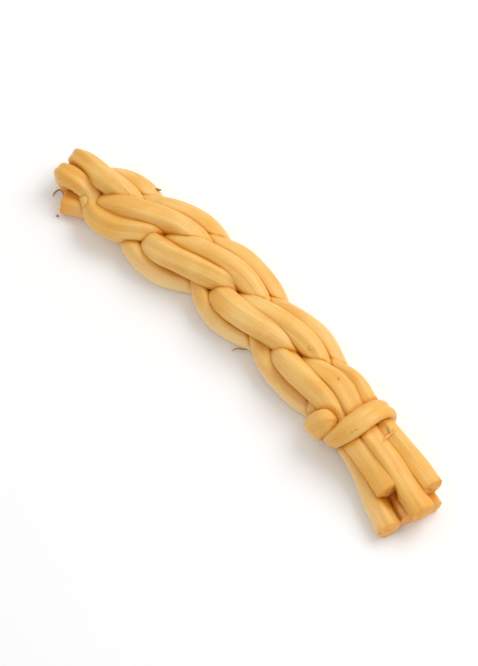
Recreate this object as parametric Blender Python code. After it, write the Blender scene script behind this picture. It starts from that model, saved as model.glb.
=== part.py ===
"""Braided string cheese: soft strands plaited in three pairs, folded at one end and tied near the other.

Metres, +Z up, +X from the folded end towards the loose tail, resting on z = 0.
Every strand is one tube. Its rings are round where nothing touches them, and flat where
a neighbour presses: a ring stops at the plane that lies between it and each other strand.
"""

import math

import bpy
import numpy as np

MM = 0.001

# Colours, as Principled base colours
STRAND_COLOUR = (0.84, 0.48, 0.11, 1)
BINDING_COLOUR = (0.84, 0.45, 0.10, 1)
CHEESE_ROUGHNESS = 0.42

# The whole braid
NAME = "Braided string cheese"
FOLD_X = -68.2 * MM  # where the folded strands start to turn back
FOLD_REACH = 1.33  # how far the turn bulges, for its height
GAP = 0.4 * MM  # the least space left between strands that press on each other

# The plait. A leg is a near strand and a far one. Over one turn it comes up at the braid's middle,
# crosses over to the upper edge, goes under, comes out on the lower side and goes under again.
# The strands' places round that turn: (twelfths of the turn, across in mm, height in mm)
NEAR_STRAND = (
    (0, -1.5, 6.5),
    (1, -0.2, 9.3),
    (2, 1.3, 10.5),
    (3, 2.7, 10.8),
    (4, 3.6, 10.2),
    (5, 2.5, 7.5),
    (5.6, -1.5, 5.2),
    (6.2, -5.8, 5.4),
    (7, -8.0, 5.0),
    (8, -8.2, 4.0),
    (9, -5.5, 2.8),
    (9.8, -2.2, 2.2),
    (11, -1.2, 3.4),
)
FAR_STRAND = (
    (0, 1.8, 5.8),
    (1, 4.3, 4.8),
    (1.6, 5.8, 6.2),
    (2.3, 7.6, 6.8),
    (3, 8.7, 7.0),
    (4, 9.3, 6.6),
    (5, 8.6, 4.8),
    (5.6, 6.8, 2.9),
    (6.3, 1.0, 3.0),
    (7, -4.0, 7.5),
    (8, -5.5, 10.0),
    (9, -4.5, 10.0),
    (10, -3.0, 10.5),
    (11, -1.0, 9.8),
)
STRAND_RADIUS = 3.55 * MM  # within the plait
END_RADIUS = 3.2 * MM  # at both ends of the braid

# How many turns each leg has made along the braid: (x, turns)
LEG_TURNS = {
    "first": ((-76, -0.26), (-56.9, 0), (-8.6, 0.65), (15.7, 1), (52, 1.5)),
    "second": (
        (-76, -0.7),
        (-52.1, -0.33),
        (-36.1, 0),
        (-16, 0.28),
        (15.7, 0.63),
        (27, 0.755),
        (40, 0.93),
    ),
    "third": ((-78, 0), (-57.7, 0.3), (-34.5, 0.64), (-9.3, 1), (8, 1.24), (27, 1.5), (42, 1.68)),
}

# The braid's gentle bend on the table: (x, y)
BEND = ((-74, -1.4), (-54, -0.6), (-42, 1.1), (-24, 2.8), (6, 1.6), (41, -2.6), (72, -10.5))

# Places at the folded end, from the bend's line: (across, height), then how far the strand's
# first pass through the plait is pushed (across, up), all in mm
FOLD_PLACES = {
    "top upper": (3.0, 9.8, -0.4, 0),
    "top lower": (-2.8, 9.4, -2.2, -2.2),
    "under upper": (3.9, 3.1, 0, 0),
    "under lower": (-1.7, 3.3, 1.8, 0),
    "stub inner": (-3.9, 2.5, 0, 0),
    "stub outer": (-7.4, 2.8, -1.0, 0.8),
}
# Places under the binding and at the cut ends: (across, height), then (x, across, height), in mm
TAIL_PLACES = {
    "top upper": (3.5, 9.9, 65.8, 5.9, 8.0),
    "under upper": (3.4, 4.8, 68.2, 4.3, 3.0),
    "top middle": (-1.0, 11.0, 69.0, 0.2, 7.6),
    "under middle": (-1.2, 5.0, 66.2, -1.8, 2.9),
    "top lower": (-4.7, 9.5, 58.6, -4.4, 7.6),
    "under lower": (-4.9, 5.0, 65.0, -8.7, 3.3),
}

# The binding strand, from under its own last turn to its other end tucked in below:
# (angle round the tie, x in mm, half width in mm, half thickness in mm, how far out as a share of the tie)
BINDING = (
    (134, 36.2, 3.2, 2.3, 1.0),
    (147, 34.7, 3.7, 2.5, 1.02),
    (162, 33.3, 3.9, 2.6, 1.05),
    (180, 32.3, 3.9, 2.7, 1.09),
    (202, 31.4, 3.8, 2.7, 1.13),
    (232, 31.8, 3.4, 2.3, 1.08),
    (270, 36.5, 2.4, 1.7, 1.0),
    (330, 42.2, 2.8, 1.7, 1.0),
    (380, 42.6, 3.2, 1.7, 1.0),
    (430, 42.0, 3.3, 1.7, 1.0),
    (500, 40.2, 2.9, 1.7, 1.0),
    (550, 37.0, 2.4, 1.7, 1.0),
    (610, 37.0, 1.9, 1.7, 1.0),
)
TIE_OUT = 8.7 * MM  # from the middle of the tie to the binding's middle, across
TIE_UP = 7.3 * MM  # and over
TIE_Y = -0.4 * MM  # the tie's middle, from the bend's line
TIE_Z = 7.6 * MM  # and its height
RIDE = 4.9 * MM  # height of the lowest strands over the binding
STUB_RIDE = 5.4 * MM  # and over the stubs
DOME = 3.2 * MM  # length of the binding's round first end
LEAST_DOME = 0.3  # of its size, at the very tip
BINDING_LOWEST = 1.3 * MM  # height of the binding's middle where it lies on the table

# Over which stretch of the braid each of these comes about: (from x, to x), in mm
FOLD_LEFT = (-68, -56)  # the strands come out of the fold
STUB_LEFT = (-62, -53)  # the stubs rise into the plait
PUSH_EASED = (-50, -34)
THICKENED = (-64, -50)  # the strands swell to their radius in the plait
THINNED = (26, 42)
WIDENED = (-60, -36)  # the plait reaches its full width
NARROWED = (-40, 16)  # and loses some of it on the way to the tie
TIED = (27, 40)
TIE_REACHED = (22, 33)
TIE_PASSED = (46, 60)
STUBS_REACHED = (-68, -62)
STUBS_PASSED = (-58, -52)
LESS_AT_FOLD = 0.13  # of the width
LESS_AT_TIE = 0.18
SOFT_CORNER = 8  # how sharply a strand's own height gives way to the height it must ride at

RUN_POINTS = 160  # worked out along each run, before the even steps
BIGHT_POINTS = 12
PATH_STEP = 0.5 * MM
RINGS_EVERY = 5  # of those steps
SIDES = 12
EASING = 60  # rounds of smoothing along a path
PRESS = 7  # how sharply a round ring turns into a pressed face
OWN_STRETCH = 3 * STRAND_RADIUS  # a strand doesn't press on itself this near along its own path
THINNEST = 0.2 * MM
FAR_AWAY = 1.0
OVER_WIDTH = (-1.0, -0.5, 0.0, 0.5, 1.0)  # lines along the flat binding that press on the others


def through(knots, x):
    """The smooth curve through the knots: a natural cubic spline, carried on straight at its ends."""
    at = np.array([knot[0] for knot in knots], float)
    value = np.array([knot[1] for knot in knots], float)
    step = np.diff(at)
    count = len(at)
    system = np.eye(count)
    right = np.zeros(count)
    for i in range(1, count - 1):
        system[i, i - 1 : i + 2] = step[i - 1], 2 * (step[i - 1] + step[i]), step[i]
        right[i] = 6 * ((value[i + 1] - value[i]) / step[i] - (value[i] - value[i - 1]) / step[i - 1])
    bend = np.linalg.solve(system, right)
    i = np.clip(np.searchsorted(at, x) - 1, 0, count - 2)
    inside = np.clip(x, at[0], at[-1])
    low = inside - at[i]
    high = at[i + 1] - inside
    chord = (value[i + 1] - value[i]) / step[i]
    curve = value[i] + chord * low - low * high / 6 * (
        bend[i] * (1 + high / step[i]) + bend[i + 1] * (1 + low / step[i])
    )
    slope_start = (value[1] - value[0]) / step[0] - step[0] / 6 * (2 * bend[0] + bend[1])
    slope_end = (value[-1] - value[-2]) / step[-1] + step[-1] / 6 * (2 * bend[-1] + bend[-2])
    return curve + np.where(x < at[0], (x - at[0]) * slope_start, 0) + np.where(
        x > at[-1], (x - at[-1]) * slope_end, 0
    )


def smooth_step(x, stretch):
    """0 before the stretch, 1 after it, and 3t^2 - 2t^3 along it."""
    t = np.clip((x / MM - stretch[0]) / (stretch[1] - stretch[0]), 0, 1)
    return t * t * (3 - 2 * t)


def unit(vectors):
    return vectors / np.linalg.norm(vectors, axis=-1, keepdims=True)


def bend_line(x):
    return through(BEND, x / MM) * MM


def strand_radius(x):
    """Thicker within the plait than at its two ends."""
    return END_RADIUS + (STRAND_RADIUS - END_RADIUS) * (smooth_step(x, THICKENED) - smooth_step(x, THINNED))


def plait_path(leg, places, x):
    """One strand of a leg: its places round the turn, at how many turns the leg has made by x."""
    turn = through(LEG_TURNS[leg], x / MM)
    again = [(at / 12 + lap, y, z) for lap in range(-3, 4) for at, y, z in places]
    y = through([row[:2] for row in again], turn)
    z = through([(row[0], row[2]) for row in again], turn)
    return np.stack([x, y * MM, z * MM], 1)


def strand_run(leg, places, fold, tail, x):
    """A strand from the folded end to the tail: its place in the fold, the plait, its place in the tail."""
    path = plait_path(leg, places, x)
    fold_y, fold_z, push_y, push_z = np.array(FOLD_PLACES[fold]) * MM
    out_y, out_z, end_x, end_y, end_z = np.array(TAIL_PLACES[tail]) * MM
    stub = fold.startswith("stub")
    folded = 1 - smooth_step(x, FOLD_LEFT)
    low = 1 - smooth_step(x, STUB_LEFT) if stub else folded
    pushed = 1 - smooth_step(x, PUSH_EASED)
    tied = smooth_step(x, TIED)
    along_tail = smooth_step(x, (TIED[1], end_x / MM))
    tail_y = out_y + (end_y - out_y) * along_tail
    tail_z = out_z + (end_z - out_z) * along_tail
    width = 1 - LESS_AT_FOLD * (1 - smooth_step(x, WIDENED)) - LESS_AT_TIE * smooth_step(x, NARROWED)
    plait_y = path[:, 1] * width + push_y * pushed
    plait_z = path[:, 2] + push_z * pushed
    path[:, 1] = plait_y * (1 - folded - tied) + fold_y * folded + tail_y * tied
    path[:, 2] = plait_z * (1 - low - tied) + fold_z * low + tail_z * tied
    # The strands ride over the binding where it passes under them, and over the stubs.
    ride = RIDE * (smooth_step(x, TIE_REACHED) - smooth_step(x, TIE_PASSED))
    if not stub:
        ride += STUB_RIDE * (smooth_step(x, STUBS_REACHED) - smooth_step(x, STUBS_PASSED))
    path[:, 2] = (path[:, 2] ** SOFT_CORNER + ride**SOFT_CORNER) ** (1 / SOFT_CORNER)
    path[:, 1] += bend_line(x)
    return path


def turn_back(start, start_way, end, end_way):
    """The bight between two runs: the cubic that leaves one and enters the other along their own ways."""
    t = np.linspace(0, 1, BIGHT_POINTS + 2)[1:-1, None]
    reach = FOLD_REACH * np.linalg.norm(end - start) * 2
    return (
        (2 * t**3 - 3 * t**2 + 1) * start
        + (t**3 - 2 * t**2 + t) * reach * start_way
        + (3 * t**2 - 2 * t**3) * end
        + (t**3 - t**2) * reach * end_way
    )


def run_x(tail, start):
    return np.linspace(start, TAIL_PLACES[tail][2] * MM, RUN_POINTS)


def folded_strand(first, second):
    """Two runs joined by a bight at the folded end, from one tail to the other."""
    out = strand_run(*first, run_x(first[3], FOLD_X))
    back = strand_run(*second, run_x(second[3], FOLD_X))
    bight = turn_back(out[0], unit(out[0] - out[1]), back[0], unit(back[1] - back[0]))
    return np.concatenate([out[::-1], bight, back])


def stub_strand(run, start):
    return strand_run(*run, run_x(run[3], start))


def binding_path():
    """More than a turn round the tied strands, an ellipse that wanders along x, with its sizes."""
    angle = np.linspace(BINDING[0][0], BINDING[-1][0], RUN_POINTS)
    x, width, thick, out = [through([(row[0], row[i]) for row in BINDING], angle) for i in (1, 2, 3, 4)]
    y = TIE_OUT * np.cos(np.radians(angle)) * out + TIE_Y + bend_line(x * MM)
    z = TIE_UP * np.sin(np.radians(angle)) * out + TIE_Z
    return np.stack([x * MM, y, np.maximum(z, BINDING_LOWEST), width * MM, thick * MM], 1)


def run_lengths(path):
    """How far along the path each point is."""
    return np.concatenate([[0], np.cumsum(np.linalg.norm(np.diff(path[:, :3], axis=0), axis=1))])


def resample(path, step):
    """The path again, with points an even step apart."""
    lengths = run_lengths(path)
    count = int(round(lengths[-1] / step / RINGS_EVERY)) * RINGS_EVERY + 1
    at = np.linspace(0, lengths[-1], count)
    return np.stack([np.interp(at, lengths, column) for column in path.T], 1)


def round_start(path):
    """A share of the binding's size: its first end is a dome, the height of a circle over its chord."""
    near = np.clip(run_lengths(path) / DOME, 0, 1)
    return np.maximum(np.sqrt(1 - (1 - near) ** 2), LEAST_DOME)


def eased(path, rounds):
    """Each inner point moved halfway to the middle of its neighbours, a few times over."""
    for _ in range(rounds):
        path[1:-1] = path[1:-1] / 2 + (path[:-2] + path[2:]) / 4
    return path


def ways(path):
    return unit(np.gradient(path, axis=0))


def carried_frame(path):
    """Two directions across the path at each point, turned as little as possible from one to the next."""
    along = ways(path)
    side = np.empty_like(path)
    side[0] = unit(np.cross(along[0], (0.0, 0.0, 1.0)))
    for i in range(1, len(path)):
        side[i] = unit(side[i - 1] - along[i] * np.dot(side[i - 1], along[i]))
    return side, np.cross(along, side)


def outward_frame(path):
    """For the binding: along its width, and across its thickness."""
    along = ways(path)
    middle = np.stack([path[:, 0], bend_line(path[:, 0]), np.full(len(path), TIE_Z)], 1)
    wide = unit(np.cross(path - middle, along))
    return wide, np.cross(along, wide)


def room_between(rays, path, radius, other_path, other_radius, skip):
    """How far each ray may go from the path: to the nearest of the planes set between it and the other."""
    apart = other_path[None] - path[:, None]
    distance = np.linalg.norm(apart, axis=2)
    share = radius[:, None] / (radius[:, None] + other_radius[None])
    room = np.maximum(share * distance - GAP / 2, THINNEST) * distance
    facing = np.einsum("nsk,nmk->nsm", rays, apart)
    meets = (facing > 1e-9) & ~skip[:, None]
    return np.where(meets, room[:, None] / np.maximum(facing, 1e-9), FAR_AWAY).min(axis=2)


def least_around(grid, spread):
    """Each value's least neighbour within a few rings, so that the facets between rings keep clear too."""
    wider = np.pad(grid, ((spread, spread), (0, 0)), mode="edge")
    return np.min([wider[i : i + len(grid)] for i in range(2 * spread + 1)], axis=0)


def pressed_rings(index, paths, radii, width):
    """Rings round a path: round, or wide and flat for the binding, and flat where a neighbour presses."""
    binding = index == len(paths) - 1
    path = paths[index]
    side, up = outward_frame(path) if binding else carried_frame(path)
    radius = radii[index]
    wide = width / radius if binding else np.ones_like(radius)
    angle = np.linspace(0, 2 * math.pi, SIDES, endpoint=False)
    rays = np.cos(angle)[None, :, None] * side[:, None] + np.sin(angle)[None, :, None] * up[:, None]
    reach = radius[:, None] / np.hypot(np.cos(angle)[None] / wide[:, None], np.sin(angle)[None])
    length = run_lengths(path)
    limit = np.full_like(reach, FAR_AWAY)
    for other, other_path in enumerate(paths):
        apart = np.linalg.norm(other_path[None] - path[:, None], axis=2)
        if other == index:
            skip = np.abs(length[None] - length[:, None]) < OWN_STRETCH
        elif binding:
            skip = apart > apart.min(axis=1, keepdims=True)
        else:
            skip = np.zeros_like(apart, bool)
        lines = [other_path]
        if other == len(paths) - 1 and not binding:
            sideways = (width - radii[other])[:, None] * outward_frame(other_path)[0]
            lines = [other_path + line * sideways for line in OVER_WIDTH]
        for line in lines:
            limit = np.minimum(limit, room_between(rays, path, radius, line, radii[other], skip))
    limit = least_around(limit, RINGS_EVERY // 2)
    reach = (reach**-PRESS + limit**-PRESS) ** (-1 / PRESS)
    rings = (path[:, None] + reach[:, :, None] * rays)[::RINGS_EVERY]
    rings[:, :, 2] = np.maximum(rings[:, :, 2], 0)
    return rings


def tube(name, rings):
    """A closed mesh from the rings, with a middle point in each end."""
    count, sides = rings.shape[:2]
    ends = [rings[0].mean(axis=0), rings[-1].mean(axis=0)]
    points = np.concatenate([rings.reshape(-1, 3), ends])
    faces = []
    for i in range(count - 1):
        for j in range(sides):
            k = (j + 1) % sides
            faces.append((i * sides + j, i * sides + k, (i + 1) * sides + k, (i + 1) * sides + j))
    for j in range(sides):
        k = (j + 1) % sides
        faces.append((k, j, count * sides))
        faces.append(((count - 1) * sides + j, (count - 1) * sides + k, count * sides + 1))
    mesh = bpy.data.meshes.new(name)
    mesh.from_pydata(points.tolist(), [], faces)
    mesh.update()
    return mesh


def cheese(name, colour):
    material = bpy.data.materials.new(name)
    material.use_nodes = True
    shader = material.node_tree.nodes["Principled BSDF"]
    shader.inputs["Base Color"].default_value = colour
    shader.inputs["Roughness"].default_value = CHEESE_ROUGHNESS
    shader.inputs["Metallic"].default_value = 0
    return material


def strand_paths():
    """The centre line of each strand, by its name, with the binding last."""
    return {
        "folded_strand_upper": folded_strand(
            ("third", NEAR_STRAND, "top upper", "under lower"),
            ("third", FAR_STRAND, "under upper", "under upper"),
        ),
        "folded_strand_lower": folded_strand(
            ("second", NEAR_STRAND, "under lower", "under middle"),
            ("second", FAR_STRAND, "top lower", "top lower"),
        ),
        "stub_strand_inner": stub_strand(("first", FAR_STRAND, "stub inner", "top upper"), -62 * MM),
        "stub_strand_outer": stub_strand(("first", NEAR_STRAND, "stub outer", "top middle"), -67 * MM),
        "binding_strand": binding_path(),
    }


def main():
    for old in list(bpy.data.objects):
        bpy.data.objects.remove(old)
    group = bpy.data.collections.new(NAME)
    bpy.context.scene.collection.children.link(group)

    strands = strand_paths()
    paths = [eased(resample(path, PATH_STEP), EASING) for path in strands.values()]
    width, thick = paths[-1][:, 3:].T * round_start(paths[-1])
    paths[-1] = paths[-1][:, :3]
    radii = [strand_radius(path[:, 0]) for path in paths[:-1]] + [thick]
    rings = [pressed_rings(index, paths, radii, width) for index in range(len(paths))]

    # The origin is under the middle of the whole braid.
    corners = np.concatenate([ring.reshape(-1, 3) for ring in rings])
    origin = (corners.min(axis=0) + corners.max(axis=0)) / 2 * (1, 1, 0)
    for name, ring in zip(strands, rings):
        mesh = tube(name, ring - origin)
        mesh.materials.append(cheese(name, BINDING_COLOUR if name == "binding_strand" else STRAND_COLOUR))
        mesh.shade_smooth()
        group.objects.link(bpy.data.objects.new(name, mesh))


main()
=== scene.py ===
"""Braided smoked string cheese: the finished look of each strand, and the small torn bits on it.

Metres, +Z up, +X from the folded end towards the loose tail, resting on z = 0.
A strand is a profile carried along a path: a round ring that stops at the planes between it and its
neighbours, with a skin of swellings, long grooves and fibres, and a low torn dome at each cut end.
"""

import math

import bpy
import numpy as np
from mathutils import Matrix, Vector


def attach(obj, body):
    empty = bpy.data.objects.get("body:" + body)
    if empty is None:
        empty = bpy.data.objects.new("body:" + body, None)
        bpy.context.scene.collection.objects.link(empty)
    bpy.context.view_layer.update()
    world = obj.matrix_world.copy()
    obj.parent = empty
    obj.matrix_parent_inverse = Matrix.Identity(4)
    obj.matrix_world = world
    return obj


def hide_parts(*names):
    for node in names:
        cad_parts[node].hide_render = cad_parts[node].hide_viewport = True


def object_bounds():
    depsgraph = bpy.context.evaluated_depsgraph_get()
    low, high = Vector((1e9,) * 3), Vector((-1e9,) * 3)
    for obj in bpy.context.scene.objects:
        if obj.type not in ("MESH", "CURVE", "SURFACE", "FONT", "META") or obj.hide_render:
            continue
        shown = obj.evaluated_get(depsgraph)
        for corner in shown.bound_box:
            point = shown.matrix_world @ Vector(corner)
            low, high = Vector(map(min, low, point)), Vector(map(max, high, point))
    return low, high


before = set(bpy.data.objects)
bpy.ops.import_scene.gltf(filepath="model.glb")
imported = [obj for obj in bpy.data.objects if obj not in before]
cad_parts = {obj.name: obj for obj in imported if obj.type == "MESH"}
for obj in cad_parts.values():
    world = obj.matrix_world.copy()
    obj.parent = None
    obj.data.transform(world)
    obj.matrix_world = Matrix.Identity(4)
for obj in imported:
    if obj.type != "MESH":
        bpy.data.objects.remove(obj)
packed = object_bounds()

MM = 0.001

# The cheese's colours and its painted light and shade, in the order in which its finish takes them: pale,
# deep, near the table (painted bounce light), in a crease (painted shade), in the deepest of one (darker
# painted shade), and at a cut end; the crease colours also give the small bits their own darkness
PALE_AMBER = (0.83, 0.55, 0.19, 1)
DEEP_AMBER = (0.75, 0.365, 0.045, 1)
CREASE_SHADE_AND_BIT_AMBER = (0.62, 0.24, 0.008, 1)
PIT_SHADE_AND_BIT_AMBER = (0.46, 0.12, 0.002, 1)
BOUNCE_LIGHT_CREAM = (0.94, 0.7, 0.36, 1)
PALE_BROWN = (0.62, 0.36, 0.1, 1)
DEEP_BROWN = (0.36, 0.17, 0.035, 1)
CUT_AMBER = (0.78, 0.34, 0.035, 1)
SKIN_COLOURS = (PALE_AMBER, DEEP_AMBER, BOUNCE_LIGHT_CREAM, CREASE_SHADE_AND_BIT_AMBER, PIT_SHADE_AND_BIT_AMBER, CUT_AMBER)
BROWN_COLOURS = (PALE_BROWN, DEEP_BROWN, PALE_BROWN, DEEP_BROWN, DEEP_BROWN, DEEP_BROWN)

# The whole braid, along its own x
FOLD_X = -68.2 * MM  # where the folded strands start to turn back
FOLD_REACH = 1.33  # how far the turn bulges, for its height
INNER_STUB_X = -62 * MM  # where the stubs start
OUTER_STUB_X = -67 * MM
GAP = -0.6 * MM  # below zero: strands that press on each other sink together by this much

# The plait. A leg is a near strand and a far one. Over one turn it comes up at the braid's middle,
# crosses over to the upper edge, goes under, comes out on the lower side and goes under again.
# The strands' places round that turn: (twelfths of the turn, across in mm, height in mm)
NEAR_STRAND = (
    (0, -1.5, 6.5),
    (1, -0.2, 9.3),
    (2, 1.3, 10.5),
    (3, 2.7, 10.8),
    (4, 3.6, 10.2),
    (5, 2.5, 7.5),
    (5.6, -1.5, 5.2),
    (6.2, -5.8, 5.4),
    (7, -8.0, 5.0),
    (8, -8.2, 4.0),
    (9, -5.5, 2.8),
    (9.8, -2.2, 2.2),
    (11, -1.2, 3.4),
)
FAR_STRAND = (
    (0, 1.8, 5.8),
    (1, 4.3, 4.8),
    (1.6, 5.8, 6.2),
    (2.3, 7.6, 6.8),
    (3, 8.7, 7.0),
    (4, 9.3, 6.6),
    (5, 8.6, 4.8),
    (5.6, 6.8, 2.9),
    (6.3, 1.0, 3.0),
    (7, -4.0, 7.5),
    (8, -5.5, 10.0),
    (9, -4.5, 10.0),
    (10, -3.0, 10.5),
    (11, -1.0, 9.8),
)
STRAND_RADIUS = 3.55 * MM  # within the plait
END_RADIUS = 3.2 * MM  # at both ends of the braid

# How many turns each leg has made along the braid: (x in mm, turns)
LEG_TURNS = {
    "first": ((-76, -0.26), (-56.9, 0), (-8.6, 0.65), (15.7, 1), (52, 1.5)),
    "second": (
        (-76, -0.7),
        (-52.1, -0.33),
        (-36.1, 0),
        (-16, 0.28),
        (15.7, 0.63),
        (27, 0.755),
        (40, 0.93),
    ),
    "third": ((-78, 0), (-57.7, 0.3), (-34.5, 0.64), (-9.3, 1), (8, 1.24), (27, 1.5), (42, 1.68)),
}

# The braid's gentle bend on the table: (x in mm, y in mm)
BEND = ((-74, -1.4), (-54, -0.6), (-42, 1.1), (-24, 2.8), (6, 1.6), (41, -2.6), (72, -10.5))

# Places at the folded end, from the bend's line: (across, height), then how far the strand's
# first pass through the plait is pushed (across, up), all in mm
FOLD_PLACES = {
    "top upper": (3.0, 9.8, -0.4, 0),
    "top lower": (-2.8, 9.4, -2.2, -2.2),
    "under upper": (3.9, 3.1, 0, 0),
    "under lower": (-1.7, 3.3, 1.8, 0),
    "stub inner": (-3.9, 2.5, 0, 0),
    "stub outer": (-7.4, 2.8, -1.0, 0.8),
}
# Places under the binding and at the cut ends: (across, height), then (x, across, height), in mm
TAIL_PLACES = {
    "top upper": (3.5, 9.9, 65.8, 5.9, 8.0),
    "under upper": (3.4, 4.8, 68.2, 4.3, 3.0),
    "top middle": (-1.0, 11.0, 69.0, 0.2, 7.6),
    "under middle": (-1.2, 5.0, 66.2, -1.8, 2.9),
    "top lower": (-4.7, 9.5, 58.6, -4.4, 7.6),
    "under lower": (-4.9, 5.0, 65.0, -8.7, 3.3),
}

# The binding strand, from under its own last turn to its other end tucked in below:
# (angle round the tie in degrees, x in mm, half width in mm, half thickness in mm, how far out as a
# share of the tie)
BINDING = (
    (134, 36.2, 3.2, 2.3, 1.0),
    (147, 34.7, 3.7, 2.5, 1.02),
    (162, 33.3, 3.9, 2.6, 1.05),
    (180, 32.3, 3.9, 2.7, 1.09),
    (202, 31.4, 3.8, 2.7, 1.13),
    (232, 31.8, 3.4, 2.3, 1.08),
    (270, 36.5, 2.4, 1.7, 1.0),
    (330, 42.2, 2.8, 1.7, 1.0),
    (380, 42.6, 3.2, 1.7, 1.0),
    (430, 42.0, 3.3, 1.7, 1.0),
    (500, 40.2, 2.9, 1.7, 1.0),
    (550, 37.0, 2.4, 1.7, 1.0),
    (610, 37.0, 1.9, 1.7, 1.0),
)
TIE_OUT = 8.7 * MM  # from the middle of the tie to the binding's middle, across
TIE_UP = 7.3 * MM  # and over
TIE_Y = -0.4 * MM  # the tie's middle, from the bend's line
TIE_Z = 7.6 * MM  # and its height
RIDE = 4.9 * MM  # height of the lowest strands over the binding
STUB_RIDE = 5.4 * MM  # and over the stubs
DOME = 3.2 * MM  # length of the binding's round first end
LEAST_DOME = 0.3  # of its size, at the very tip
BINDING_LOWEST = 1.3 * MM  # height of the binding's middle where it lies on the table

# Over which stretch of the braid each of these comes about: (from x, to x), in mm
FOLD_LEFT = (-68, -56)  # the strands come out of the fold
STUB_LEFT = (-62, -53)  # the stubs rise into the plait
PUSH_EASED = (-50, -34)
THICKENED = (-64, -50)  # the strands swell to their radius in the plait
THINNED = (26, 42)
WIDENED = (-60, -36)  # the plait reaches its full width
NARROWED = (-40, 16)  # and loses some of it on the way to the tie
TIED = (27, 40)
TIE_REACHED = (22, 33)
TIE_PASSED = (46, 60)
STUBS_REACHED = (-68, -62)
STUBS_PASSED = (-58, -52)
LESS_AT_FOLD = 0.13  # of the width
LESS_AT_TIE = 0.18
SOFT_CORNER = 8  # how sharply a strand's own height gives way to the height it must ride at

RUN_POINTS = 160  # worked out along each run, before the even steps
BIGHT_POINTS = 12
PATH_STEP = 0.4 * MM
LAPS = range(-3, 4)  # the turn's stations are laid out again over this many turns
SIDES = 96
EASING = 94  # rounds of smoothing along a path
PRESS = 16  # how sharply a round ring turns into a pressed face
NEAR = 11 * MM  # how far away a neighbour can press
BLOCK = 40  # rings worked out together
OWN_STRETCH = 3 * STRAND_RADIUS  # a strand doesn't press on itself this near along its own path
THINNEST = 0.2 * MM
FAR_AWAY = 1.0
END_RINGS = 9  # across a cut end
END_DOME = 0.25 * MM
END_TORN = 0.35 * MM
TORN_SHARES = (0.93, 0.05)  # of a cut end's outline: its first ring and its last
TORN_WAVES = (1, 2, 3, 5)  # round a cut end
TORN_SPIRAL = 5  # how far those waves turn from the rim to the middle, in radians
TORN_RISE = 0.7  # below 1 the ridges are highest nearer the rim
BROWNED = 1.4 * MM  # how far the browning of a cut end fades along the strand
STUB_BROWNED = 7 * MM  # and along a stub

# Painted shade on each stub's first stretch, where it lies under the other strands: how much darker it is
# at its cut end, and over what length that fades
STUB_PAINTED_SHADE = {"stub_strand_inner": (3, 4 * MM), "stub_strand_outer": (0.7, 8 * MM)}

# The skin's relief: (how high, fewest and most waves round, shortest wave along, how many waves)
SWELLINGS = (0.034, 1, 3, 11 * MM, 9)  # the height is a share of the radius
GROOVES = (0.18 * MM, 3, 7, 60 * MM, 10)
FIBRES = (0.03 * MM, 12, 30, 22 * MM, 24)
GROOVE_SEED = 20  # past the strand's own seed
FIBRE_SEED = 50
LAST_END_SEED = 9
LAY_SHIFT = 0.37  # between two strands, so that their patterns differ

# How hard the strands press on each other
PRESSED_OVER = (0.5, 0.95)  # of the room: from here on a point is pressed
SQUEEZED_OVER = (1.08, 1.4)  # of the room: from here on it lies deep in a crevice, and takes the painted crevice shade
DEEP_FROM = (1.2, 1.9)  # sum of pressings, from where on a crease is deep
FILLED = 0.09  # of the radius: how far a shallow crease is filled
FILLED_OVER = 0.2  # of the room: how wide the filling is
OVER_WIDTH = (-1.0, -0.5, 0.0, 0.5, 1.0)  # lines along the flat binding that press on the others
NEVER_ZERO = 1e-9

# Torn fibres that stand off the skin: (how dark, radius in mm, places along it in mm). They and the
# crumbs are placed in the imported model's frame, and so aren't moved with the strands.
TORN_FIBRES = {
    "curl_at_fold": (
        1.5,
        0.26,
        (
            (-66.8, -4.2, 1.7),
            (-68.2, -3.4, 1.4),
            (-69.4, -3.6, 1.0),
            (-69.7, -4.8, 0.7),
            (-69.4, -6.0, 0.4),
        ),
    ),
    "curl_under_plait": (
        1.7,
        0.2,
        ((4.2, -2.0, 2.2), (3.2, -2.8, 1.8), (2.2, -3.3, 1.4), (1.0, -4.0, 0.9), (0.4, -5.3, 0.4)),
    ),
    "shred_at_tie": (
        0.25,
        0.4,
        ((51.6, 1.6, 12.2), (51.6, 2.5, 12.5), (51.4, 3.4, 12.6), (51.3, 4.2, 12.5)),
    ),
    "shred_beside_tie": (
        0.2,
        0.35,
        ((48.7, 2.6, 12.2), (49.6, 2.8, 12.5), (50.7, 2.5, 12.7), (51.8, 1.8, 12.5)),
    ),
    "shred_over_tail": (
        0.1,
        0.3,
        ((51.7, 2.2, 12.5), (51.6, 0.9, 12.9), (51.7, -0.4, 13.1), (52.0, -1.6, 12.9)),
    ),
    "spike_at_tail": (
        0.9,
        0.32,
        ((67.6, 2.6, 9.9), (68.4, 2.4, 9.9), (68.9, 2.3, 9.8), (69.2, 2.6, 9.8)),
    ),
    "flake_on_edge": (
        0.9,
        0.3,
        ((-48.0, 12.6, 7.4), (-47.2, 13.1, 7.6), (-46.6, 13.4, 7.6), (-46.4, 13.9, 7.5)),
    ),
}
# Crumbs and browned specks: (how dark, size in mm, place in mm)
CRUMBS = {
    "crumb_by_stub": (0.8, 0.35, (-63.8, -9.3, 0.25)),
    "crumb_by_tail": (0.8, 0.4, (66.4, -17.1, 3.9)),
    "crumb_in_groove": (0, 0.42, (-21.1, 2.6, 13.6)),
    "crumb_in_groove_2": (0, 0.35, (-19.8, 2.9, 13.7)),
    "crumb_on_edge": (0.9, 0.4, (-3.3, 15.2, 8.0)),
    "speck_on_tie": (1.2, 0.42, (45.2, -4.4, 14.95)),
    "speck_on_tie_2": (0.9, 0.3, (44.9, -5.6, 14.7)),
    "speck_on_plait": (0.8, 0.4, (31.3, 3.5, 13.9)),
    "speck_on_knob": (1.0, 0.3, (34.1, -7.4, 12.4)),
    "speck_on_tail": (0.9, 0.28, (49.1, -9.5, 6.7)),
    "flake_on_plait": (0.5, 0.5, (19.2, 5.1, 12.9)),
}
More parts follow.
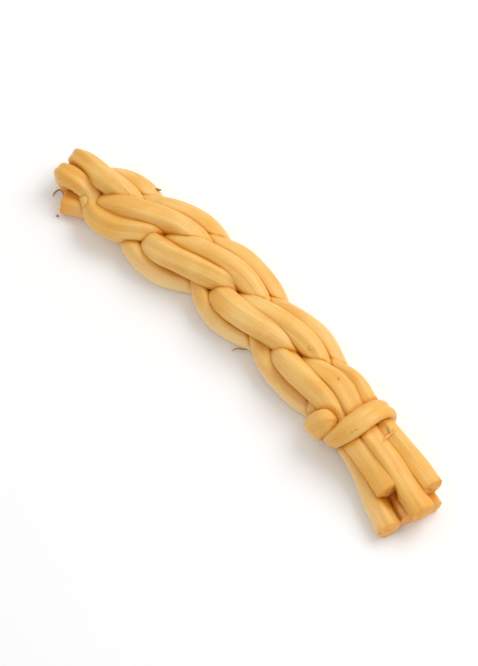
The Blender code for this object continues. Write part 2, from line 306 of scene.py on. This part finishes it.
# Those that are dark brown, while the others have the skin's own finish
BROWNED_BITS = ("curl_at_fold", "curl_under_plait", "crumb_by_stub", "crumb_by_tail", "flake_on_edge")
FIBRE_RINGS = 40
BIT_SIDES = 12
CRUMB_RINGS = 12
FIBRE_TIP = 0.1  # of the fibre's radius
CRUMB_TIP = 0.1  # angle left open round each pole, in radians, and closed by a fan
CRUMB_HEIGHT = 0.6  # of its width
CRUMB_LUMPS = (0.2, 1, 3, math.pi, 4)  # as the skin's relief, with the height as a share of its size

# The finish's patterns: (size, detail, roughness, scale along the strand, below 1 where drawn out)
FINE_STREAKS = (0.5 * MM, 3.0, 0.55, 0.04)
STREAKS = (1.8 * MM, 3.0, 0.5, 0.09)
PATCHES = (9 * MM, 3.0, 0.5, 1)
PORES = (0.45 * MM, 2.0, 0.6, 1)
TAIL_REACHED = (0, 70 * MM)  # the amber deepens from the middle of the braid to the tail
MORE_AMBER = 0.45  # and by how much
BOUNCE_LIGHT_BELOW = (2 * MM, 9.5 * MM)  # the height over which the painted bounce light from the table gives way to amber
MOST_BOUNCE_LIGHT = 0.8
SUBSURFACE = {
    "Subsurface Weight": 0.35,
    "Subsurface Radius": (1.0, 0.6, 0.3),
    "Subsurface Scale": 0.8 * MM,
    "IOR": 1.45,
}

# The stage
FLOOR_SIZE = 4
FLOOR_FINISH = {"Base Color": (0.9, 0.9, 0.9, 1), "Roughness": 0.9}
SKY = 0.8  # strength of the white light from all round
LAMP_WATTS = 1.55
LAMP_SIZE = 0.35
LAMP_AT = (0.10, 0.30, 0.45)
LENS = 140  # in mm
NEAREST_SEEN = 0.01
AIM = (0.0004, -0.00245, 0.0066)  # the point that the camera looks at
BACK = (0.356, -0.351, 0.866)  # the way from it to the camera
DISTANCE = 0.687


def through(knots, x):
    """The smooth curve through the knots: a natural cubic spline, carried on straight at its ends."""
    at = np.array([knot[0] for knot in knots], float)
    value = np.array([knot[1] for knot in knots], float)
    step = np.diff(at)
    count = len(at)
    system = np.eye(count)
    right = np.zeros(count)
    for i in range(1, count - 1):
        system[i, i - 1 : i + 2] = step[i - 1], 2 * (step[i - 1] + step[i]), step[i]
        right[i] = 6 * ((value[i + 1] - value[i]) / step[i] - (value[i] - value[i - 1]) / step[i - 1])
    bend = np.linalg.solve(system, right)
    i = np.clip(np.searchsorted(at, x) - 1, 0, count - 2)
    inside = np.clip(x, at[0], at[-1])
    low = inside - at[i]
    high = at[i + 1] - inside
    chord = (value[i + 1] - value[i]) / step[i]
    curve = value[i] + chord * low - low * high / 6 * (
        bend[i] * (1 + high / step[i]) + bend[i + 1] * (1 + low / step[i])
    )
    slope_start = (value[1] - value[0]) / step[0] - step[0] / 6 * (2 * bend[0] + bend[1])
    slope_end = (value[-1] - value[-2]) / step[-1] + step[-1] / 6 * (2 * bend[-1] + bend[-2])
    return curve + np.where(x < at[0], (x - at[0]) * slope_start, 0) + np.where(
        x > at[-1], (x - at[-1]) * slope_end, 0
    )


def smooth_step(value, stretch):
    """0 before the stretch, 1 after it, and 3t^2 - 2t^3 along it."""
    t = np.clip((value - stretch[0]) / (stretch[1] - stretch[0]), 0, 1)
    return t * t * (3 - 2 * t)


def reached(x, stretch):
    """The smooth step over a stretch of the braid that is given in mm."""
    return smooth_step(x / MM, stretch)


def unit(vectors):
    """Each vector over its own length."""
    return vectors / np.linalg.norm(vectors, axis=-1, keepdims=True)


def bend_line(x):
    """How far across the braid's middle lies at x."""
    return through(BEND, x / MM) * MM


def strand_radius(x):
    """The ends' radius, and the rest of the plait's radius between the two smooth steps."""
    return END_RADIUS + (STRAND_RADIUS - END_RADIUS) * (reached(x, THICKENED) - reached(x, THINNED))


def plait_path(leg, places, x):
    """One strand of a leg: its places round the turn, at how many turns the leg has made by x."""
    turn = through(LEG_TURNS[leg], x / MM)
    again = [(at / 12 + lap, y, z) for lap in LAPS for at, y, z in places]
    y = through([row[:2] for row in again], turn)
    z = through([(row[0], row[2]) for row in again], turn)
    return np.stack([x, y * MM, z * MM], 1)


def strand_run(leg, places, fold, tail, x):
    """A strand from the folded end to the tail: its place in the fold, then in the plait, then in the
    tail, each blended into the next by a smooth step. Where it rides over another, its height is the
    soft maximum of the two, (z^p + ride^p)^(1/p)."""
    path = plait_path(leg, places, x)
    fold_y, fold_z, push_y, push_z = np.array(FOLD_PLACES[fold]) * MM
    out_y, out_z, end_x, end_y, end_z = np.array(TAIL_PLACES[tail]) * MM
    stub = fold.startswith("stub")
    folded = 1 - reached(x, FOLD_LEFT)
    low = 1 - reached(x, STUB_LEFT) if stub else folded
    pushed = 1 - reached(x, PUSH_EASED)
    tied = reached(x, TIED)
    along_tail = reached(x, (TIED[1], end_x / MM))
    tail_y = out_y + (end_y - out_y) * along_tail
    tail_z = out_z + (end_z - out_z) * along_tail
    width = 1 - LESS_AT_FOLD * (1 - reached(x, WIDENED)) - LESS_AT_TIE * reached(x, NARROWED)
    plait_y = path[:, 1] * width + push_y * pushed
    plait_z = path[:, 2] + push_z * pushed
    path[:, 1] = plait_y * (1 - folded - tied) + fold_y * folded + tail_y * tied
    path[:, 2] = plait_z * (1 - low - tied) + fold_z * low + tail_z * tied
    # The strands ride over the binding where it passes under them, and over the stubs.
    ride = RIDE * (reached(x, TIE_REACHED) - reached(x, TIE_PASSED))
    if not stub:
        ride += STUB_RIDE * (reached(x, STUBS_REACHED) - reached(x, STUBS_PASSED))
    path[:, 2] = (path[:, 2] ** SOFT_CORNER + ride**SOFT_CORNER) ** (1 / SOFT_CORNER)
    path[:, 1] += bend_line(x)
    return path


def turn_back(start, start_way, end, end_way):
    """The bight between two runs: the cubic Hermite curve that leaves one and enters the other along
    their own ways."""
    t = np.linspace(0, 1, BIGHT_POINTS + 2)[1:-1, None]
    reach = FOLD_REACH * np.linalg.norm(end - start) * 2
    return (
        (2 * t**3 - 3 * t**2 + 1) * start
        + (t**3 - 2 * t**2 + t) * reach * start_way
        + (3 * t**2 - 2 * t**3) * end
        + (t**3 - t**2) * reach * end_way
    )


def run_x(tail, start):
    """Even steps along x from the start to where that strand is cut off."""
    return np.linspace(start, TAIL_PLACES[tail][2] * MM, RUN_POINTS)


def folded_strand(first, second):
    """Two runs joined by a bight at the folded end, from one tail to the other."""
    out = strand_run(*first, run_x(first[3], FOLD_X))
    back = strand_run(*second, run_x(second[3], FOLD_X))
    bight = turn_back(out[0], unit(out[0] - out[1]), back[0], unit(back[1] - back[0]))
    return np.concatenate([out[::-1], bight, back])


def stub_strand(run, start):
    """One run that starts at a cut stub."""
    return strand_run(*run, run_x(run[3], start))


def binding_path():
    """More than a turn round the tied strands, with its half width and half thickness at each point:
    across a cos(angle), up b sin(angle), an ellipse that wanders along x and keeps off the table."""
    angle = np.linspace(BINDING[0][0], BINDING[-1][0], RUN_POINTS)
    at, *columns = zip(*BINDING)
    x, width, thick, out = [through(list(zip(at, column)), angle) for column in columns]
    y = TIE_OUT * np.cos(np.radians(angle)) * out + TIE_Y + bend_line(x * MM)
    z = TIE_UP * np.sin(np.radians(angle)) * out + TIE_Z
    return np.stack([x * MM, y, np.maximum(z, BINDING_LOWEST), width * MM, thick * MM], 1)


def run_lengths(path):
    """How far along the path each point is."""
    return np.concatenate([[0], np.cumsum(np.linalg.norm(np.diff(path[:, :3], axis=0), axis=1))])


def resample(path, step):
    """The path again, with points an even step apart."""
    lengths = run_lengths(path)
    at = np.linspace(0, lengths[-1], int(round(lengths[-1] / step)) + 1)
    return np.stack([np.interp(at, lengths, column) for column in path.T], 1)


def round_start(path):
    """A share of the binding's size, as its first end is a dome: sqrt(1 - (1 - near)^2)."""
    near = np.clip(run_lengths(path) / DOME, 0, 1)
    return np.maximum(np.sqrt(1 - (1 - near) ** 2), LEAST_DOME)


def eased(path, rounds):
    """Each inner point moved halfway to the middle of its neighbours, over and over."""
    for _ in range(rounds):
        path[1:-1] = path[1:-1] / 2 + (path[:-2] + path[2:]) / 4
    return path


def ways(path):
    """The direction of the path at each point."""
    return unit(np.gradient(path, axis=0))


def carried_frame(path):
    """Two directions across the path at each point: the last one, less its part along the path."""
    along = ways(path)
    side = np.empty_like(path)
    side[0] = unit(np.cross(along[0], (0.0, 0.0, 1.0)))
    for i in range(1, len(path)):
        side[i] = unit(side[i - 1] - along[i] * np.dot(side[i - 1], along[i]))
    return side, np.cross(along, side)


def outward_frame(path):
    """For the binding: along its width, and across its thickness, from where the tie's middle is."""
    along = ways(path)
    middle = np.stack([path[:, 0], bend_line(path[:, 0]), np.full(len(path), TIE_Z)], 1)
    wide = unit(np.cross(path - middle, along))
    return wide, np.cross(along, wide)


def room_between(rays, centres, radius, points, point_radius, skip):
    """How far each ray may go: to the nearest of the planes that share the space between two strands.
    A plane stands square to the line between two points, at the share of it that the radii give, and a
    ray meets it after room * distance / (ray . line)."""
    apart = points[None] - centres[:, None]
    distance = np.linalg.norm(apart, axis=2)
    share = radius[:, None] / (radius[:, None] + point_radius[None])
    room = np.maximum(share * distance - GAP / 2, THINNEST) * distance
    facing = np.einsum("nsk,nmk->nsm", rays, apart)
    meets = (facing > NEVER_ZERO) & ~skip[:, None]
    return np.where(meets, room[:, None] / np.maximum(facing, NEVER_ZERO), FAR_AWAY).min(axis=2)


class Strand:
    """A strand's path, its frame and its room, on a grid of rings along it and sides round it.
    Its round reach at an angle a is the ellipse's r / hypot(cos(a) / w, sin(a)), w times as wide as it
    is thick."""

    def __init__(self, name, path, radius, width=None):
        self.name = name
        self.path = path
        self.radius = radius
        self.width = width
        self.length = run_lengths(path)
        self.side, self.up = carried_frame(path) if width is None else outward_frame(path)
        self.angle = np.linspace(0, 2 * math.pi, SIDES, endpoint=False)
        self.rays = (
            np.cos(self.angle)[None, :, None] * self.side[:, None]
            + np.sin(self.angle)[None, :, None] * self.up[:, None]
        )
        wide = np.ones_like(radius) if width is None else width / radius
        across = np.hypot(np.cos(self.angle)[None] / wide[:, None], np.sin(self.angle)[None])
        self.reach = radius[:, None] / across

    def lines(self):
        """The lines that stand for this strand when it presses on another."""
        if self.width is None:
            return [self.path]
        sideways = (self.width - self.radius)[:, None] * self.side
        return [self.path + line * sideways for line in OVER_WIDTH]

    def room_against(self, other, here):
        """How far the rays of these rings may go before they reach the other strand's share of the
        room. A strand presses on itself only where its path comes back, and the flat binding is pressed
        by the nearest point alone of each line."""
        least = np.full_like(self.reach[here], FAR_AWAY)
        for line in [self.path] if other is self else other.lines():
            apart = np.linalg.norm(line[None] - self.path[here, None], axis=2)
            close = apart.min(axis=0) < NEAR
            if not close.any():
                continue
            gap = apart[:, close]
            if other is self:
                skip = np.abs(self.length[close][None] - self.length[here, None]) < OWN_STRETCH
            elif self.width is not None:
                skip = gap > gap.min(axis=1, keepdims=True)
            else:
                skip = np.zeros_like(gap, bool)
            own = (self.rays[here], self.path[here], self.radius[here])
            room = room_between(*own, line[close], other.radius[close], skip)
            least = np.minimum(least, room)
        return least

    def press(self, strands):
        """The room of each ray, block by block, and how much its point is pressed: the sum, over the
        strands, of a smooth step of its round reach over its room against that strand."""
        self.limit = np.full_like(self.reach, FAR_AWAY)
        self.pressed = np.zeros_like(self.reach)
        for start in range(0, len(self.path), BLOCK):
            here = slice(start, start + BLOCK)
            for other in strands:
                room = self.room_against(other, here)
                self.limit[here] = np.minimum(self.limit[here], room)
                self.pressed[here] += smooth_step(self.reach[here] / room, PRESSED_OVER)

    def surface(self):
        """Points on the grid, flat where they lie on the table: the soft minimum of the round reach and
        the room, (reach^-p + room^-p)^(-1/p)."""
        reach = (self.reach**-PRESS + self.limit**-PRESS) ** (-1 / PRESS)
        points = self.path[:, None] + reach[:, :, None] * self.rays
        points[:, :, 2] = np.maximum(points[:, :, 2], 0)
        return points


def strand_paths():
    """The centre line of each strand, by its name, with the binding last."""
    return {
        "folded_strand_upper": folded_strand(
            ("third", NEAR_STRAND, "top upper", "under lower"),
            ("third", FAR_STRAND, "under upper", "under upper"),
        ),
        "folded_strand_lower": folded_strand(
            ("second", NEAR_STRAND, "under lower", "under middle"),
            ("second", FAR_STRAND, "top lower", "top lower"),
        ),
        "stub_strand_inner": stub_strand(
            ("first", FAR_STRAND, "stub inner", "top upper"), INNER_STUB_X
        ),
        "stub_strand_outer": stub_strand(
            ("first", NEAR_STRAND, "stub outer", "top middle"), OUTER_STUB_X
        ),
        "binding_strand": binding_path(),
    }


def make_strands():
    """Every strand with its room worked out against the others."""
    strands = []
    for name, rough in strand_paths().items():
        path = eased(resample(rough, PATH_STEP), EASING)
        if name == "binding_strand":
            width, thick = path[:, 3:].T * round_start(path)
            strands.append(Strand(name, path[:, :3], thick, width))
        else:
            strands.append(Strand(name, path, strand_radius(path[:, 0])))
    for strand in strands:
        strand.press(strands)
    return strands


def tube_mesh(name, points, marks):
    """A closed mesh from a grid of rings: quads round the rings and a fan at each end.
    marks are values on the grid, kept as attributes; each end's middle takes its ring's mean."""
    count, sides = points.shape[:2]
    ends = np.stack([points[0].mean(axis=0), points[-1].mean(axis=0)])
    places = np.concatenate([points.reshape(-1, 3), ends])
    ring = np.arange(count - 1)[:, None] * sides
    j = np.arange(sides)[None]
    k = (j + 1) % sides
    quads = np.stack([ring + j, ring + k, ring + sides + k, ring + sides + j], 2).reshape(-1, 4)
    last = (count - 1) * sides
    start_fan = np.stack([k[0], j[0], np.full(sides, count * sides)], 1)
    end_fan = np.stack([last + j[0], last + k[0], np.full(sides, count * sides + 1)], 1)
    faces = quads.tolist() + start_fan.tolist() + end_fan.tolist()
    mesh = bpy.data.meshes.new(name)
    mesh.from_pydata(places.tolist(), [], faces)
    for mark, grid in marks.items():
        flat = grid.reshape(count * sides, -1)
        middles = [end.reshape(sides, -1).mean(axis=0)[None] for end in (grid[0], grid[-1])]
        flat = np.concatenate([flat, *middles])
        kind, slot = ("FLOAT_VECTOR", "vector") if flat.shape[1] == 3 else ("FLOAT", "value")
        attribute = mesh.attributes.new(mark, kind, "POINT")
        attribute.data.foreach_set(slot, flat.astype(np.float32).ravel())
    mesh.shade_smooth()
    mesh.update()
    return mesh


def relief(angle, length, seed, height, fewest, most, period, count):
    """A smooth field on the grid, about as high as asked: cosines of whole numbers of waves round, from
    the fewest to the most, and of random waves along, none shorter than the period."""
    rng = np.random.default_rng(seed)
    field = np.zeros((len(length), len(angle)))
    for _ in range(count):
        n = rng.integers(fewest, most + 1)
        along = 2 * math.pi * rng.uniform(-1, 1) / period
        field += np.cos(n * angle[None] + along * length[:, None] + rng.uniform(0, 2 * math.pi))
    return height * (field / math.sqrt(count))


def end_rings(ring, way, marks, seed):
    """A cut end as rings that shrink to its middle: share s of the end's own outline, pushed out along
    the strand by a low dome 1 - s^2 and by torn ridges, cosines round the ring and across it."""
    rng = np.random.default_rng(seed)
    share = np.linspace(*TORN_SHARES, END_RINGS)[:, None]
    round_it = np.linspace(0, 2 * math.pi, len(ring), endpoint=False)[None]
    middle = ring.mean(axis=0)
    torn = np.zeros((END_RINGS, len(ring)))
    for waves_round in TORN_WAVES:
        phase = rng.uniform(0, 2 * math.pi)
        torn += np.cos(waves_round * round_it + phase + TORN_SPIRAL * share) / (1 + waves_round)
    out = END_DOME * (1 - share**2) + END_TORN * torn * np.sin(math.pi * share**TORN_RISE)
    rings = middle + (ring - middle)[None] * share[:, :, None] + out[:, :, None] * way
    ended = {name: grid[None] * np.ones((END_RINGS, 1, 1)) for name, grid in marks.items()}
    ended["lay"] = marks["lay"][None] * np.concatenate([share, share, np.ones_like(share)], 1)[:, None]
    ended["crease"] = np.ones_like(ended["crease"]) * marks["crease"].min()
    ended["cut"] = np.ones_like(ended["cut"])
    return rings, ended


def roughen(strand, seed):
    """The strand's round reach with soft swellings, long grooves and fine fibres on it. A shallow
    crease is filled by a bell curve round the place where the reach equals the room. Gives back how
    squeezed each point is, for the painted crevice shade: a smooth step of its reach over its room."""
    angle, length = strand.angle, strand.length
    strand.reach *= 1 + relief(angle, length, seed, *SWELLINGS)
    strand.reach += relief(angle, length, seed + GROOVE_SEED, *GROOVES)
    strand.reach += relief(angle, length, seed + FIBRE_SEED, *FIBRES)
    squeezed = smooth_step(strand.reach / strand.limit, SQUEEZED_OVER)
    shallow = 1 - smooth_step(strand.pressed, DEEP_FROM)
    past = (strand.reach / strand.limit - 1) / FILLED_OVER
    strand.reach *= 1 + FILLED * shallow * np.exp(-(past**2))
    return squeezed


def skin_marks(strand, seed, squeezed):
    """Values on the strand's grid for its finish: lay, the place in a straightened strand; crease, the
    painted shade, from how pressed or squeezed it is and from the painted shade on a stub's first
    stretch; and cut, the browning of both ends, which fades along the strand as e^(-length / its reach)."""
    shape = strand.reach.shape
    lay = np.empty((*shape, 3))
    lay[:, :, 0] = np.cos(strand.angle)[None] * strand.radius[:, None]
    lay[:, :, 1] = np.sin(strand.angle)[None] * strand.radius[:, None]
    lay[:, :, 2] = strand.length[:, None] + seed * LAY_SHIFT
    first_browned = STUB_BROWNED if strand.name.startswith("stub") else BROWNED
    to_end = strand.length[-1] - strand.length
    browned = np.exp(-strand.length / first_browned) + np.exp(-to_end / BROWNED)
    dark, dark_over = STUB_PAINTED_SHADE.get(strand.name, (0, MM))
    # Painted shade: the stub's dark first stretch, and the crevices where the strand is squeezed.
    painted_shade = dark * np.exp(-strand.length / dark_over)[:, None] + squeezed
    return {
        "lay": lay,
        "crease": (strand.pressed + painted_shade)[:, :, None],
        "cut": np.broadcast_to(browned[:, None, None], (*shape, 1)),
    }


def strand_piece(strand, seed, shift):
    """The strand as a piece: its pressed surface, with a torn dome at each cut end."""
    squeezed = roughen(strand, seed)
    points = strand.surface() + shift
    marks = skin_marks(strand, seed, squeezed)
    along = ways(strand.path)
    at_first = {mark: grid[0] for mark, grid in marks.items()}
    at_last = {mark: grid[-1] for mark, grid in marks.items()}
    first, first_marks = end_rings(points[0], -along[0], at_first, seed)
    last, last_marks = end_rings(points[-1], along[-1], at_last, seed + LAST_END_SEED)
    points = np.concatenate([first[::-1], points, last])
    for mark, grid in marks.items():
        marks[mark] = np.concatenate([first_marks[mark][::-1], grid, last_marks[mark]])
    name = strand.name + "_cheese"
    return link(name, tube_mesh(name, points, marks))


def small_piece(name, points, dark):
    """The grid as a closed piece, as dark all over as a crease of that depth."""
    shape = points.shape[:2]
    marks = {"lay": points, "crease": np.full((*shape, 1), dark), "cut": np.zeros((*shape, 1))}
    return link(name, tube_mesh(name, points, marks))


def torn_fibre(name, dark, radius, places):
    """A thin tube along the smooth curve through its places: at share t of it the ring's radius is
    r sqrt(4 t (1 - t)), and never under the tip's share of r."""
    t = np.linspace(0, 1, FIBRE_RINGS)
    at = t * (len(places) - 1)
    path = np.stack([through(list(enumerate(column)), at) for column in zip(*places)], 1)
    thick = radius * np.maximum(np.sqrt(4 * t * (1 - t)), FIBRE_TIP)
    side, up = carried_frame(path)
    angle = np.linspace(0, 2 * math.pi, BIT_SIDES, endpoint=False)[None, :, None]
    rays = np.cos(angle) * side[:, None] + np.sin(angle) * up[:, None]
    return small_piece(name, (path[:, None] + thick[:, None, None] * rays) * MM, dark)


def crumb(name, dark, size, place, seed):
    """A low lump: its size times (sin s cos a, sin s sin a, h cos s), with s from pole to pole, a round
    it and h its height over its width, and with a few waves on it."""
    s = np.linspace(math.pi - CRUMB_TIP, CRUMB_TIP, CRUMB_RINGS)
    a = np.linspace(0, 2 * math.pi, BIT_SIDES, endpoint=False)
    lumpy = size * (1 + relief(a, s, seed, *CRUMB_LUMPS))
    s, a = np.meshgrid(s, a, indexing="ij")
    ball = np.stack([np.sin(s) * np.cos(a), np.sin(s) * np.sin(a), CRUMB_HEIGHT * np.cos(s)], 2)
    return small_piece(name, (np.array(place) + lumpy[:, :, None] * ball) * MM, dark)


def link(name, data):
    """The mesh, lamp or camera as an object of the scene."""
    obj = bpy.data.objects.new(name, data)
    bpy.context.scene.collection.objects.link(obj)
    return obj


class Wire:
    """A shader socket that can be used in sums: each operator adds its Math node."""

    def __init__(self, shop, socket):
        self.shop = shop
        self.socket = socket

    def math(self, operation, first, second):
        """The Math node of that operation on two values."""
        return self.shop.node("ShaderNodeMath", {"operation": operation}, [first, second])

    def __add__(self, other):
        return self.math("ADD", self, other)

    def __mul__(self, other):
        return self.math("MULTIPLY", self, other)

    def __rsub__(self, other):
        return self.math("SUBTRACT", other, self)

    __radd__ = __add__
    __rmul__ = __mul__

    def ramp(self, low, high):
        """0 at low and 1 at high, smooth between."""
        return self.shop.node(
            "ShaderNodeMapRange",
            {"interpolation_type": "SMOOTHSTEP"},
            {"Value": self, "From Min": low, "From Max": high},
        )


class Finish:
    """A material: the shader's own constants, and the nodes that feed it, made by one method."""

    def __init__(self, name, constants):
        self.material = bpy.data.materials.new(name)
        self.material.use_nodes = True
        self.tree = self.material.node_tree
        self.shader = self.tree.nodes["Principled BSDF"]
        for socket, value in constants.items():
            self.shader.inputs[socket].default_value = value

    def node(self, kind, settings, sockets, output=0):
        """A node of that type, with its settings made first and then its sockets set or linked."""
        node = self.tree.nodes.new(kind)
        for setting, value in settings.items():
            setattr(node, setting, value)
        for socket, value in sockets.items() if isinstance(sockets, dict) else enumerate(sockets):
            if isinstance(value, Wire):
                self.tree.links.new(value.socket, node.inputs[socket])
            else:
                node.inputs[socket].default_value = value
        return Wire(self, node.outputs[output])

    def attribute(self, name, output="Fac"):
        """A value that the mesh keeps at each point."""
        return self.node("ShaderNodeAttribute", {"attribute_name": name}, {}, output)

    def axis(self, place, number):
        """One number of a place: 0 for x, 1 for y and 2 for z."""
        return self.node("ShaderNodeSeparateXYZ", {}, {"Vector": place}, number)

    def noise(self, where, size, detail, roughness, along):
        """Noise, 0 to 1, with spots of that size, drawn out along the third axis by 1 / along."""
        place = self.node("ShaderNodeMapping", {}, {"Vector": where, "Scale": (1, 1, along)})
        sockets = {"Vector": place, "Scale": 1 / size, "Detail": detail, "Roughness": roughness}
        return self.node("ShaderNodeTexNoise", {}, sockets)

    def mix(self, share, first, second):
        """Colours mixed by share."""
        sockets = {"Factor": share, "A": first, "B": second}
        return self.node("ShaderNodeMix", {"data_type": "RGBA"}, sockets, 2)

    def feed(self, socket, wire):
        """The wire's value into one of the shader's own sockets."""
        self.tree.links.new(wire.socket, self.shader.inputs[socket])


def cheese_finish(name, pale, deep, low, crease_shade_and_bit, pit_shade_and_bit, browned):
    """Smoked cheese: pale and deep amber mixed by patches and streaks, deeper towards the tail, painted
    bounce light in cream near the table, painted shade in the creases and their deepest pits where the
    strands press on each other (on the small bits, their own darkness), browned at the cuts."""
    f = Finish(name, SUBSURFACE)
    lay = f.attribute("lay", "Vector")
    place = f.node("ShaderNodeTexCoord", {}, {}, "Object")
    fibres = f.noise(lay, *FINE_STREAKS)
    streaks = f.noise(lay, *STREAKS)
    patches = f.noise(place, *PATCHES)
    pores = f.noise(place, *PORES)
    crease = f.attribute("crease")
    cut = f.attribute("cut")
    tone = 0.5 * patches.ramp(0.32, 0.68) + 0.35 * streaks.ramp(0.3, 0.7)
    tone = tone + 0.15 * fibres.ramp(0.3, 0.7)
    colour = f.mix(tone, pale, deep)
    colour = f.mix(MORE_AMBER * f.axis(place, 0).ramp(*TAIL_REACHED), colour, deep)
    # Painted bounce light: paler cream near the table, fading out with height.
    colour = f.mix(MOST_BOUNCE_LIGHT * (1 - f.axis(place, 2).ramp(*BOUNCE_LIGHT_BELOW)), colour, low)
    # Painted shade: a crease turns deep amber first, then the crease shade colour in blotches, and the
    # darkest shade where it is deepest; on the small bits the same steps give their own darkness.
    colour = f.mix(0.85 * crease.ramp(-0.2, 1), colour, deep)
    colour = f.mix(crease.ramp(0.4, 1.05) * (0.2 + 0.5 * streaks + 0.7 * patches), colour, crease_shade_and_bit)
    colour = f.mix(crease.ramp(1, 1.9), colour, pit_shade_and_bit)
    colour = f.mix(cut * (0.45 + 0.55 * fibres), colour, browned)
    f.feed("Base Color", colour)
    f.feed("Roughness", 0.35 + 0.16 * streaks + 0.05 * crease + 0.1 * cut)
    height = fibres + 0.35 * pores + 0.5 * patches
    bump = {"Strength": 0.3, "Distance": 0.12 * MM, "Height": height}
    f.feed("Normal", f.node("ShaderNodeBump", {}, bump))
    return f.material


def turned(way):
    """The turn that points a lamp or a camera that way."""
    return way.to_track_quat("-Z", "Y").to_euler()


def plain_stage():
    """A pale floor, a soft light from above and the open side, and the camera."""
    bpy.ops.mesh.primitive_plane_add(size=FLOOR_SIZE)
    floor = bpy.context.object
    floor.name = "floor"
    floor.data.materials.append(Finish("floor_white", FLOOR_FINISH).material)
    world = bpy.data.worlds.new("studio")
    bpy.context.scene.world = world
    world.use_nodes = True
    world.node_tree.nodes["Background"].inputs["Color"].default_value = (1, 1, 1, 1)
    world.node_tree.nodes["Background"].inputs["Strength"].default_value = SKY
    lamp = bpy.data.lights.new("softbox", "AREA")
    lamp.energy = LAMP_WATTS
    lamp.size = LAMP_SIZE
    held = link("softbox", lamp)
    held.location = LAMP_AT
    held.rotation_euler = turned(-held.location)
    camera = bpy.data.cameras.new("camera")
    camera.lens = LENS
    camera.clip_start = NEAREST_SEEN
    eye = link("camera", camera)
    back = Vector(BACK).normalized()
    eye.location = Vector(AIM) + back * DISTANCE
    eye.rotation_euler = turned(-back)
    bpy.context.scene.camera = eye
    bpy.context.scene.view_settings.view_transform = "Standard"


def main():
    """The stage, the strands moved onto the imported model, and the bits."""
    plain_stage()
    strands = make_strands()
    # The strands move as one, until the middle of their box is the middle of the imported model's.
    corners = np.concatenate([strand.surface().reshape(-1, 3) for strand in strands])
    middle = (corners.min(axis=0) + corners.max(axis=0)) / 2
    shift = (np.array(packed[0]) + np.array(packed[1])) / 2 - middle
    shift[2] = 0
    skin = cheese_finish("smoked_cheese", *SKIN_COLOURS)
    for seed, strand in enumerate(strands):
        piece = strand_piece(strand, seed + 1, shift)
        piece.data.materials.append(skin)
        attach(piece, "root")
        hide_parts(strand.name)
    bits = [torn_fibre(name, *bit) for name, bit in TORN_FIBRES.items()]
    bits += [crumb(name, *bit, seed) for seed, (name, bit) in enumerate(CRUMBS.items())]
    brown = cheese_finish("browned_cheese", *BROWN_COLOURS)
    for bit in bits:
        bit.data.materials.append(brown if bit.name in BROWNED_BITS else skin)
        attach(bit, "root")


main()
